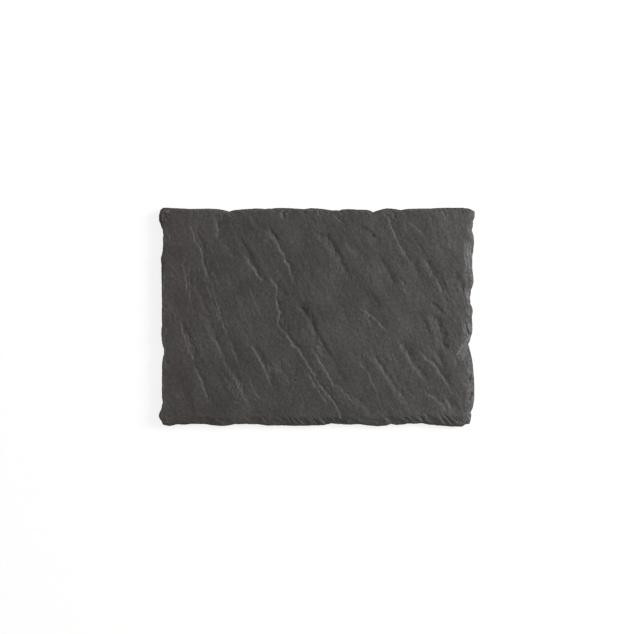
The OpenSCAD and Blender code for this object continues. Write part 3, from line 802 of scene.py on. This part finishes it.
def stone_looks(x, y, broken, height, inward):
    """What the material reads at each corner of the upper side, apart from the wear and painted highlight."""
    eastward = x - SLAB_LOW.x
    far_east = np.clip((GLINT_REACH - BOARD_LENGTH + eastward) / GLINT_FADE, 0, 1)
    glint = np.interp((y - SLAB_LOW.y) / BOARD_WIDTH, *np.transpose(GLINT_SHARES))
    # Painted shade: the low rim of the edge is darkened, except on the lit east edge and by half on the west,
    # and a dark line is painted along the north outline
    painted_shade_rim = np.clip((RIM_HEIGHT - height) / (RIM_HEIGHT - RIM_FOOT), 0, 1) * (1 - far_east)
    painted_shade_rim *= np.where(eastward < EDGE_ZONE, WEST_RIM_SHARE, 1)
    north_shade_line = NORTH_SHADE_LINE * np.exp(-(inward["north"] / NORTH_SHADE_LINE_WIDTH) ** 2)
    return {
        "broken_edge": broken,
        # A painted glint: paler colour and a smoother finish on the broken stone of the lit east edge
        "fresh_break_and_painted_glint": broken * far_east * glint,
        "painted_shade_rim": np.maximum(painted_shade_rim, north_shade_line),
        "bed_tone_and_painted_shading": bed_tones_and_painted_shading(x, y),
    }


def west_wear(y, from_west):
    """How worn the stone is in a patchy line beside the west edge."""
    patches = layered_noise((y - SLAB_LOW.y) / (9 * MM), from_west / (3 * MM), 77, 2)
    line = np.exp(-((from_west - WEST_WEAR_PLACE) / WEST_WEAR_WIDTH) ** 2)
    return WEST_WEAR * np.clip(0.5 + patches, 0, 1) * line


def upper_surface():
    """Places of the upper side's corners, by row and column, with the looks of the stone there."""
    straight = np.zeros(1)
    columns = grid_lines(COLUMNS, BOARD_LENGTH, straight, straight)[:, 0] / BOARD_LENGTH
    rows = grid_lines(ROWS, BOARD_WIDTH, straight, straight)[:, 0] / BOARD_WIDTH
    south, north = [outline_inset(columns, edge) for edge in ("south", "north")]
    west, east = [outline_inset(rows, edge) for edge in ("west", "east")]
    x = SLAB_LOW.x + grid_lines(COLUMNS, BOARD_LENGTH, west, east).T
    y = SLAB_LOW.y + grid_lines(ROWS, BOARD_WIDTH, south, north)
    inward = {
        "south": y - SLAB_LOW.y - south[None, :],
        "north": SLAB_HIGH.y - y - north[None, :],
        "west": x - SLAB_LOW.x - west[:, None],
        "east": SLAB_HIGH.x - x - east[:, None],
    }
    relief, lit_flank_lips = face_relief(x, y)
    face = THICKNESS - np.maximum(relief, 0)
    bevel, paleness = broken_bevel(x, y, inward)
    height = np.maximum(np.minimum(face, bevel), LEAST_HEIGHT)
    broken = np.clip((face - height) / BROKEN_DEPTH, 0, 1)
    looks = stone_looks(x, y, broken, height, inward)
    # Wear and pale bruises, with a painted highlight on the lit south-west flanks of the grooves
    wear_and_highlight = [lit_flank_lips * (1 - broken), paleness * broken, west_wear(y, inward["west"]), pale_chips(x, y)]
    looks["wear_and_painted_highlight"] = np.clip(np.maximum.reduce(wear_and_highlight), 0, 1)
    return np.dstack([x, y, SLAB_LOW.z + height]), looks


def outline_indices(columns, rows):
    """Numbers of the grid's outer corners, counter-clockwise from the south-west."""
    width = columns + 1
    south = np.arange(columns)
    east = np.arange(rows) * width + columns
    north = rows * width + np.arange(columns, 0, -1)
    west = np.arange(rows, 0, -1) * width
    return np.concatenate([south, east, north, west])


def grid_faces(columns, rows, first, upward):
    """Four-sided faces of a grid whose corners are numbered row by row."""
    width = columns + 1
    corner = (np.arange(rows)[:, None] * width + np.arange(columns)[None, :]).ravel() + first
    faces = np.stack([corner + width, corner, corner + 1, corner + width + 1], axis=1)
    return faces if upward else faces[:, ::-1]


def wall_rings(outline):
    """The broken edge under the outline: ledges of thin layers, drawn in towards the underside."""
    steps = np.roll(outline[:, :2], -1, axis=0) - outline[:, :2]
    along = np.concatenate([[0], np.cumsum(np.hypot(steps[:, 0], steps[:, 1]))[:-1]])
    rings = []
    for layer in range(1, WALL_LAYERS):
        share = layer / WALL_LAYERS
        broken = layered_noise(along / WALL_BREAK, np.full(len(outline), layer * WALL_LAYER_STEP), 83, 3)
        ledge = WALL_LEDGE * np.clip(WALL_LEDGE_MEAN + WALL_LEDGE_SPREAD * broken, 0, 1)
        inward = UNDERCUT * share ** UNDERCUT_POWER + ledge
        ring = outline.copy()
        ring[:, 0] *= 1 - 2 * inward / BOARD_LENGTH
        ring[:, 1] *= 1 - 2 * inward / BOARD_WIDTH
        ring[:, 2] = SLAB_LOW.z + (outline[:, 2] - SLAB_LOW.z) * (1 - share)
        rings.append(ring)
    return rings


def foot_distance(x, y):
    """Distance from the nearest foot's middle."""
    nearest = np.full(x.shape, np.inf)
    for name in FEET:
        low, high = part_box(name)
        nearest = np.minimum(nearest, np.hypot(x - (low.x + high.x) / 2, y - (low.y + high.y) / 2))
    return nearest


def underside_points(upper):
    """The underside's corners: a coarser grid that follows the outline, riven but flat round the feet."""
    grid = upper[::UNDERSIDE_STEP, ::UNDERSIDE_STEP].copy()
    grid[:, :, 0] *= 1 - 2 * UNDERCUT / BOARD_LENGTH
    grid[:, :, 1] *= 1 - 2 * UNDERCUT / BOARD_WIDTH
    x = grid[:, :, 0]
    y = grid[:, :, 1]
    inside = np.inf
    for count, cells in zip(x.shape, np.indices(x.shape)):
        inside = np.minimum(inside, np.minimum(cells, count - 1 - cells))
    clear = np.clip((foot_distance(x, y) - FOOT_CLEAR) / FOOT_FADE, 0, 1)
    clear *= np.clip(inside / UNDERSIDE_BORDER, 0, 1)
    riven = UNDERSIDE_MEAN + relief_noise(UNDERSIDE, *along_cleavage(x, y))
    grid[:, :, 2] = SLAB_LOW.z + np.clip(riven, 0, None) * clear
    return grid


def slab_mesh():
    """The whole slab as one closed mesh."""
    upper, looks = upper_surface()
    corners = [upper.reshape(-1, 3)]
    faces = [grid_faces(COLUMNS, ROWS, 0, True)]
    above = outline_indices(COLUMNS, ROWS)
    total = len(corners[0])
    for ring in wall_rings(corners[0][above]):
        below = total + np.arange(len(ring))
        faces.append(np.stack([np.roll(above, -1), above, below, np.roll(below, -1)], axis=1))
        corners.append(ring)
        above = below
        total += len(ring)
    under = underside_points(upper)
    rows = under.shape[0] - 1
    columns = under.shape[1] - 1
    corners.append(under.reshape(-1, 3))
    faces.append(grid_faces(columns, rows, total, False))
    low = outline_indices(columns, rows) + total
    half = UNDERSIDE_STEP // 2
    triangles = []
    for number, (corner, following) in enumerate(zip(low, np.roll(low, -1))):
        fine = [above[(UNDERSIDE_STEP * number + step) % len(above)] for step in range(UNDERSIDE_STEP + 1)]
        for step in range(UNDERSIDE_STEP):
            triangles.append((fine[step + 1], fine[step], corner if step < half else following))
        triangles.append((following, fine[half], corner))
    points = np.concatenate(corners)
    everything = [tuple(face) for part in faces for face in part.tolist()]
    everything += [tuple(int(index) for index in face) for face in triangles]
    mesh = bpy.data.meshes.new("slate_slab_riven")
    mesh.from_pydata(points.tolist(), [], everything)
    mesh.shade_smooth()
    for name, on_top in looks.items():
        values = np.full(len(points), float(name == "bed_tone_and_painted_shading"))
        values[:total] = float(name in ("broken_edge", "painted_shade_rim", "bed_tone_and_painted_shading"))
        values[:on_top.size] = on_top.ravel()
        attribute = mesh.attributes.new(name, "FLOAT", "POINT")
        attribute.data.foreach_set("value", values.astype(np.float32))
    mesh.validate()
    return mesh


# Materials, with their colours in linear light

SLATE_DARK = (0.0462, 0.0446, 0.0428, 1)
SLATE_PALE = (0.0705, 0.0683, 0.0658, 1)
BLOTCH_DARK = (0.86, 0.84, 0.83, 1)
BLOTCH_PALE = (1.12, 1.12, 1.12, 1)
FLECK_DARK = (0.78, 0.78, 0.78, 1)
FLECK_PALE = (1.22, 1.22, 1.22, 1)
CAST_WEST_EDGE = (1.047, 0.958, 0.957, 1)
CAST_WEST = (1.006, 0.985, 0.964, 1)
CAST_MIDDLE = (0.944, 0.952, 0.933, 1)
# A cool tint, and painted light that makes the east side brighter
CAST_EAST_AND_PAINTED_LIGHT = (1.12, 1.13, 1.13, 1)
CAST_BROKEN = (1.12, 1.055, 1.01, 1)
# The paler colour painted as a glint on the broken stone of the lit east edge
PAINTED_GLINT_CAST = (1.2, 1.21, 1.22, 1)
# The pale colour of wear, also painted as highlight on the lit flanks of the grooves
CHALK_AND_HIGHLIGHT = (0.2, 0.196, 0.19, 1)
# The colour of the painted shade on the low rim and along the north outline
PAINTED_RIM_SHADE = (0.012, 0.0105, 0.0095, 1)
SLATE_GLOSS = 0.2
RUBBER_BLACK = (0.011, 0.011, 0.012, 1)
RUBBER_DUSTY = (0.026, 0.025, 0.024, 1)
FILM_DARK = (0.4, 0.37, 0.3, 1)
FILM_PALE = (0.5, 0.47, 0.39, 1)
WHITE = (1, 1, 1, 1)
FLOOR_PLAIN = (0.85, 0.85, 0.85, 1)
FLOOR_SHADED = (0.3, 0.3, 0.3, 1)
FLOOR_GLOW = 0.78
WORLD_LIGHT = 0.45


class Nodes:
    """The nodes of a material or of the world."""

    def __init__(self, holder):
        self.holder = holder
        holder.use_nodes = True
        self.tree = holder.node_tree

    def plug(self, socket, value):
        """Links an input to another node's output, or sets its value."""
        if isinstance(value, bpy.types.NodeSocket):
            self.tree.links.new(value, socket)
        else:
            socket.default_value = value

    def feed(self, node, inputs):
        """Feeds a node's inputs by name, with _ for a space."""
        for name, value in inputs.items():
            self.plug(node.inputs[name.replace("_", " ")], value)

    def add(self, kind, *values, **inputs):
        """A new node, whose inputs are fed in their order or by name."""
        node = self.tree.nodes.new(kind)
        for socket, value in zip(node.inputs, values):
            self.plug(socket, value)
        self.feed(node, inputs)
        return node

    def finish(self, **inputs):
        """Feeds a material's shader and gives the material."""
        self.feed(self.tree.nodes["Principled BSDF"], inputs)
        return self.holder

    def show(self, output, lighting, seen):
        """Sets one shader for the light that is given and one for the camera and reflections."""
        path = self.add("ShaderNodeLightPath").outputs
        reflected = self.math("MAXIMUM", path["Is Glossy Ray"], path["Is Transmission Ray"])
        directly = self.math("MAXIMUM", path["Is Camera Ray"], reflected)
        both = self.add("ShaderNodeMixShader", directly, lighting.outputs[0], seen.outputs[0])
        self.add(output, both.outputs[0])
        return self.holder

    def place(self):
        """The object's own places."""
        return self.add("ShaderNodeTexCoord").outputs["Object"]

    def drawn_out(self, stretch):
        """Places drawn out along the cleavage."""
        turned = (0, 0, CLEAVAGE_ANGLE)
        node = self.add("ShaderNodeMapping", Vector=self.place(), Rotation=turned, Scale=(stretch, 1, 1))
        node.vector_type = "TEXTURE"
        return node.outputs["Vector"]

    def noise(self, scale, detail, roughness=0.6, vector=None, kind="FBM", **more):
        """Noise, at the object's own places unless others are given."""
        sizes = {"Scale": scale, "Detail": detail, "Roughness": roughness, **more}
        node = self.add("ShaderNodeTexNoise", Vector=vector or self.place(), **sizes)
        node.noise_type = kind
        return node.outputs["Fac"]

    def hairlines(self, scale, width, vector):
        """Height of thin cracks along the level lines of a noise, 0 in them and 1 beside them."""
        level = self.noise(scale, 3, 0.5, vector)
        beside = self.math("ABSOLUTE", self.math("SUBTRACT", level, 0.5), 0)
        return self.remap(beside, 0, width, 0, 1)

    def attribute(self, name):
        """A value that the mesh holds at its corners."""
        node = self.add("ShaderNodeAttribute")
        node.attribute_name = name
        return node.outputs["Fac"]

    def remap(self, value, low, high, to_low, to_high):
        """A value between two limits, moved to two others."""
        return self.add("ShaderNodeMapRange", value, low, high, to_low, to_high).outputs["Result"]

    def math(self, operation, first, second):
        """A sum of two values, a product or the like."""
        node = self.add("ShaderNodeMath", first, second)
        node.operation = operation
        return node.outputs[0]

    def ramp(self, factor, *stops):
        """A colour that follows a factor from stop to stop."""
        node = self.add("ShaderNodeValToRGB", factor)
        elements = node.color_ramp.elements
        for element, (position, colour) in zip(elements, stops):
            element.position = position
            element.color = colour
        for position, colour in stops[2:]:
            elements.new(position).color = colour
        return node.outputs["Color"]

    def mix(self, factor, first, second, blend="MIX"):
        """One colour over another."""
        node = self.add("ShaderNodeMix")
        node.data_type = "RGBA"
        node.blend_type = blend
        for number, value in ((0, factor), (6, first), (7, second)):
            self.plug(node.inputs[number], value)
        return node.outputs[2]

    def multiply(self, *colours):
        """The product of several colours."""
        total = colours[0]
        for colour in colours[1:]:
            total = self.mix(1, total, colour, "MULTIPLY")
        return total

    def bump(self, height, strength, distance, **normal):
        """A surface bent by a height, over another one if its normal is given."""
        node = self.add("ShaderNodeBump", Height=height, Strength=strength, Distance=distance, **normal)
        return node.outputs["Normal"]


def slate_material():
    """Dark riven slate with paler and darker beds, a speckled grain, worn lips and a broken edge."""
    nodes = Nodes(bpy.data.materials.new("slate_riven"))
    blotches = nodes.noise(38, 5)
    grain = nodes.noise(560, 4)
    edge = nodes.attribute("broken_edge")
    # Where a glint is painted on the lit east edge
    fresh_and_painted_glint = nodes.attribute("fresh_break_and_painted_glint")
    # Where shade is painted on the low rim and along the north outline
    rim = nodes.attribute("painted_shade_rim")

    beds = nodes.noise(70, 6, vector=nodes.drawn_out(4))
    across = nodes.add("ShaderNodeSeparateXYZ", nodes.place()).outputs["X"]
    eastward = nodes.remap(across, SLAB_LOW.x, SLAB_HIGH.x, 0, 1)
    stone = nodes.multiply(
        nodes.ramp(beds, (0.3, SLATE_DARK), (0.72, SLATE_PALE)),
        nodes.ramp(blotches, (0.35, BLOTCH_DARK), (0.65, BLOTCH_PALE)),
        # A warm-to-cool tint from west to east, and painted light that brightens the east side
        nodes.ramp(eastward, (0.03, CAST_WEST_EDGE), (0.2, CAST_WEST), (0.55, CAST_MIDDLE), (1, CAST_EAST_AND_PAINTED_LIGHT)),
        # Bed tones, partly painted light and shade
        nodes.attribute("bed_tone_and_painted_shading"),
        nodes.ramp(nodes.noise(340, 3), (0.3, FLECK_DARK), (0.7, FLECK_PALE)),
    )
    # Pale wear, and a painted highlight on the lit flanks of the grooves
    wear_and_highlight = nodes.math("MULTIPLY", nodes.attribute("wear_and_painted_highlight"), nodes.remap(grain, 0.4, 0.62, 0.2, 1.4))
    worn_and_lit = nodes.mix(wear_and_highlight, stone, CHALK_AND_HIGHLIGHT)
    # The broken edge's colour, painted paler as a glint on the lit east edge
    broken = nodes.mix(edge, worn_and_lit, nodes.mix(fresh_and_painted_glint, CAST_BROKEN, PAINTED_GLINT_CAST), "MULTIPLY")
    # Painted shade: the colour is darkened on the low rim and along the north outline
    shaded = nodes.mix(nodes.remap(rim, 0, 1, 0, 0.77), broken, PAINTED_RIM_SHADE)

    dull = nodes.remap(grain, 0.3, 0.7, 0.52, 0.68)
    roughness = nodes.math("MULTIPLY", dull, nodes.remap(fresh_and_painted_glint, 0, 1, 1, 0.68))

    ridges = nodes.noise(210, 3, 0.5, nodes.drawn_out(0.7), "RIDGED_MULTIFRACTAL", Distortion=1.1)
    creased = nodes.bump(ridges, nodes.remap(blotches, 0.38, 0.6, 0.3, 1), 0.4 * MM)
    patches = nodes.noise(75, 2)
    long_lines = nodes.hairlines(120, 0.035, nodes.drawn_out(2.2))
    lined = nodes.bump(long_lines, nodes.remap(patches, 0.45, 0.58, 0, 1), 0.2 * MM, Normal=creased)
    short_lines = nodes.hairlines(190, 0.04, nodes.drawn_out(0.8))
    crossed = nodes.bump(short_lines, nodes.remap(patches, 0.42, 0.55, 1, 0.2), 0.15 * MM, Normal=lined)
    grained = nodes.bump(grain, 0.3, 0.4 * MM, Normal=crossed)
    return nodes.finish(
        Base_Color=shaded, Roughness=roughness, Specular_IOR_Level=SLATE_GLOSS, Normal=grained,
    )


def rubber_material():
    """Black moulded rubber with a fine matt grain and a trace of dust."""
    nodes = Nodes(bpy.data.materials.new("foot_rubber"))
    dust = nodes.noise(260, 5, 0.65)
    colour = nodes.ramp(dust, (0.42, RUBBER_BLACK), (0.75, RUBBER_DUSTY))
    roughness = nodes.remap(dust, 0.3, 0.7, 0.5, 0.7)
    grained = nodes.bump(nodes.noise(2600, 3), 0.35, 0.06 * MM)
    return nodes.finish(Base_Color=colour, Roughness=roughness, Normal=grained)


def adhesive_material():
    """Pale acrylic adhesive film, faintly mottled where it is wetted out."""
    nodes = Nodes(bpy.data.materials.new("adhesive_film"))
    mottle = nodes.noise(700, 4)
    colour = nodes.ramp(mottle, (0.35, FILM_DARK), (0.65, FILM_PALE))
    roughness = nodes.remap(mottle, 0.3, 0.7, 0.35, 0.55)
    grained = nodes.bump(mottle, 0.3, 0.04 * MM)
    return nodes.finish(Base_Color=colour, Roughness=roughness, Normal=grained)


# Stage, light and camera

FLOOR_HALF = 3.0
FLOOR_GAP = 0.05 * MM

# The ragged chips lie inside the outline's knots, so the camera sees a little less than the photograph
SEEN_SHARE = 0.999


def floor_material():
    """A white floor that keeps a soft shadow."""
    nodes = Nodes(bpy.data.materials.new("floor_white"))
    nodes.tree.nodes.clear()
    plain = nodes.add("ShaderNodeBsdfDiffuse", FLOOR_PLAIN)
    shaded = nodes.add("ShaderNodeBsdfDiffuse", FLOOR_SHADED)
    glow = nodes.add("ShaderNodeEmission", WHITE, FLOOR_GLOW)
    white = nodes.add("ShaderNodeAddShader", shaded.outputs[0], glow.outputs[0])
    return nodes.show("ShaderNodeOutputMaterial", plain, white)


def make_floor():
    """A wide plain floor, a hair's breadth under the feet so that it shares no plane with them."""
    mesh = bpy.data.meshes.new("floor")
    corners = [(-1, -1, 0), (1, -1, 0), (1, 1, 0), (-1, 1, 0)]
    mesh.from_pydata([(FLOOR_HALF * x, FLOOR_HALF * y, z) for x, y, z in corners], [], [(0, 1, 2, 3)])
    mesh.materials.append(floor_material())
    floor = bpy.data.objects.new("floor", mesh)
    floor.location.z = cad_bounds[0].z - FLOOR_GAP
    bpy.context.scene.collection.objects.link(floor)


def make_world():
    """Soft even light from all round, and white where it is seen directly."""
    nodes = Nodes(bpy.data.worlds.new("studio"))
    nodes.tree.nodes.clear()
    light = nodes.add("ShaderNodeBackground", WHITE, WORLD_LIGHT)
    white = nodes.add("ShaderNodeBackground", WHITE, 1)
    bpy.context.scene.world = nodes.show("ShaderNodeOutputWorld", light, white)


def add_area_light(name, azimuth, elevation, distance, size, level):
    """An area light that looks at the board. Level is the light it gives the floor, where 1 is white."""
    data = bpy.data.lights.new(name, "AREA")
    data.shape = "SQUARE"
    data.size = size
    data.energy = level * math.pi ** 2 * distance ** 2 / math.sin(elevation)
    lamp = bpy.data.objects.new(name, data)
    flat = math.cos(elevation)
    lamp.location = (
        distance * flat * math.cos(azimuth),
        distance * flat * math.sin(azimuth),
        distance * math.sin(elevation),
    )
    lamp.rotation_mode = "QUATERNION"
    lamp.rotation_quaternion = lamp.location.to_track_quat("Z", "Y")
    bpy.context.scene.collection.objects.link(lamp)


def make_camera():
    """Straight above the board, so that the outline has the photograph's size in pixels."""
    data = bpy.data.cameras.new("camera")
    data.lens = 100
    data.sensor_width = 36
    data.clip_end = 100
    camera = bpy.data.objects.new("camera", data)
    seen = SEEN_SHARE * PHOTO_SIDE * PIXEL
    rim = SLAB_LOW.z + EDGE_HEIGHT
    middle_x = (PHOTO_WEST + PHOTO_EAST) / 2 - PHOTO_SIDE / 2
    middle_y = PHOTO_SIDE / 2 - (PHOTO_NORTH + PHOTO_SOUTH) / 2
    camera.location = (
        CENTRE_X - middle_x * PIXEL,
        CENTRE_Y - middle_y * PIXEL,
        rim + seen * data.lens / data.sensor_width,
    )
    bpy.context.scene.collection.objects.link(camera)
    bpy.context.scene.camera = camera


make_camera()
make_floor()
make_world()
add_area_light(
    "key_light", azimuth=math.radians(20), elevation=math.radians(26), distance=1.35, size=0.6, level=0.5,
)

slab = bpy.data.objects.new("riven_slate", slab_mesh())
bpy.context.scene.collection.objects.link(slab)
slab.data.materials.append(slate_material())
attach(slab, "root")
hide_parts("slate_slab")

for names, material in ((FEET, rubber_material()), (ADHESIVES, adhesive_material())):
    for name in names:
        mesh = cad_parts[name].data
        mesh.materials.clear()
        mesh.materials.append(material)

bpy.context.scene.view_settings.view_transform = "Standard"
